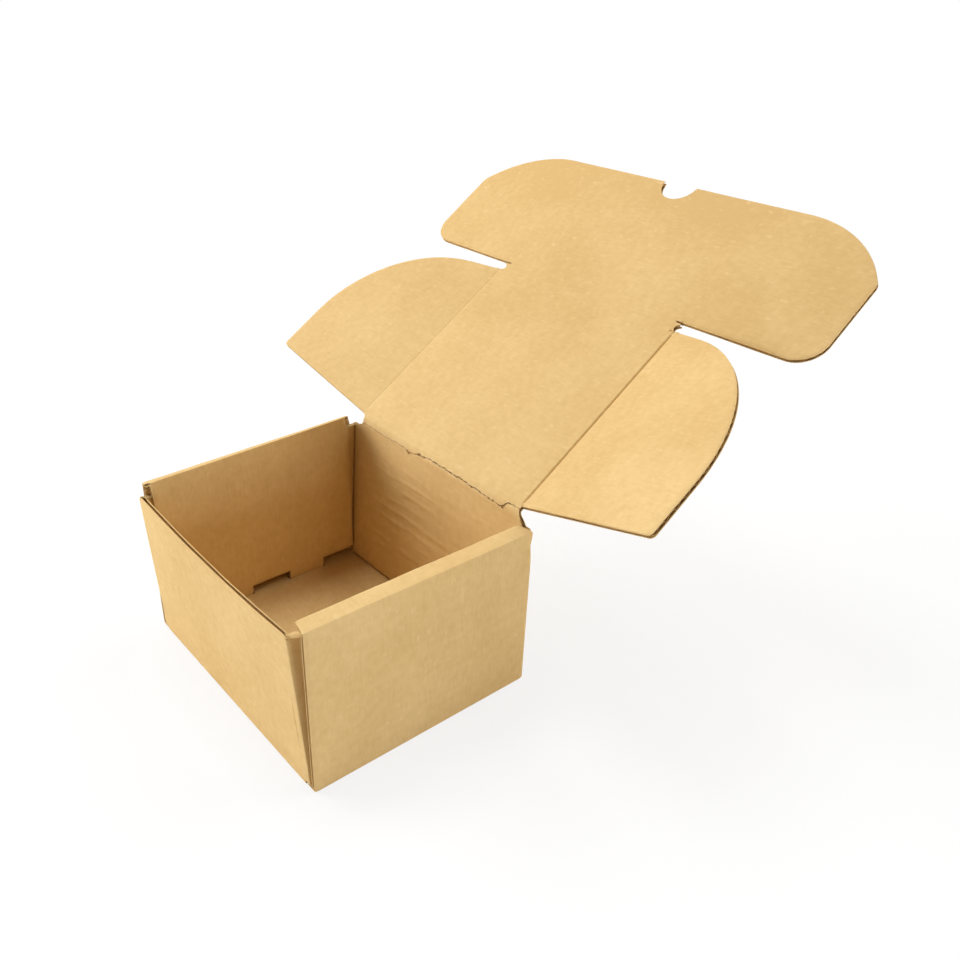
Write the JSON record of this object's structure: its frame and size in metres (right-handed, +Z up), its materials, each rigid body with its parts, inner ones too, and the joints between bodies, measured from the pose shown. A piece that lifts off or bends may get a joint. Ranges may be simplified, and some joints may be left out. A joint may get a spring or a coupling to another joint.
{
  "type": "shipping box",
  "caption": "Open corrugated shipping box with rolled side walls locked into its base and a hinged lid that carries dust flaps and a tuck flap with ears and a thumb notch.",
  "frame": {"origin": "middle of the base's underside, which stands on the floor", "axes": "+Z up, -Y towards the front wall, +Y towards the lid's hinge and the open lid, +X to the right as seen from the front"},
  "size_m": [0.2422, 0.2458, 0.1709],
  "materials": {
    "kraft_board": "matte"
  },
  "bodies": {
    "tray": {"tray": "kraft_board"},
    "lid": {"lid": "kraft_board"},
    "tuck_flap": {"tuck_flap": "kraft_board"},
    "left_ear": {"left_ear": "kraft_board"},
    "right_ear": {"right_ear": "kraft_board"},
    "left_dust_flap": {"left_dust_flap": "kraft_board"},
    "right_dust_flap": {"right_dust_flap": "kraft_board"}
  },
  "joints": [
    {"name": "lid_hinge", "type": "hinge", "parent": "tray", "child": "lid", "pos_m": [0, 0.05121, 0.07459], "axis": [1, 0, 0], "range_deg": [-33.4, 146.6]},
    {"name": "tuck_fold", "type": "hinge", "parent": "lid", "child": "tuck_flap", "pos_m": [0, 0.1342, 0.12931], "axis": [1, 0, 0], "range_deg": [-1.2, 91]},
    {"name": "left_ear_fold", "type": "hinge", "parent": "tuck_flap", "child": "left_ear", "pos_m": [-0.05, 0.1342, 0.12931], "axis": [0, 0.8231, 0.5678], "range_deg": [-1.2, 91]},
    {"name": "right_ear_fold", "type": "hinge", "parent": "tuck_flap", "child": "right_ear", "pos_m": [0.05, 0.1342, 0.12931], "axis": [0, -0.8231, -0.5678], "range_deg": [-1.2, 91]},
    {"name": "left_dust_fold", "type": "hinge", "parent": "lid", "child": "left_dust_flap", "pos_m": [-0.053, 0.05121, 0.07459], "axis": [0, 0.8348, 0.5505], "range_deg": [-8, 82]},
    {"name": "right_dust_fold", "type": "hinge", "parent": "lid", "child": "right_dust_flap", "pos_m": [0.053, 0.05121, 0.07459], "axis": [0, -0.8348, -0.5505], "range_deg": [-18.5, 71.5]}
  ],
  "couplings": [
    {"joint": "left_ear_fold", "follows": "tuck_fold", "ratio": 1},
    {"joint": "right_ear_fold", "follows": "tuck_fold", "ratio": 1}
  ]
}
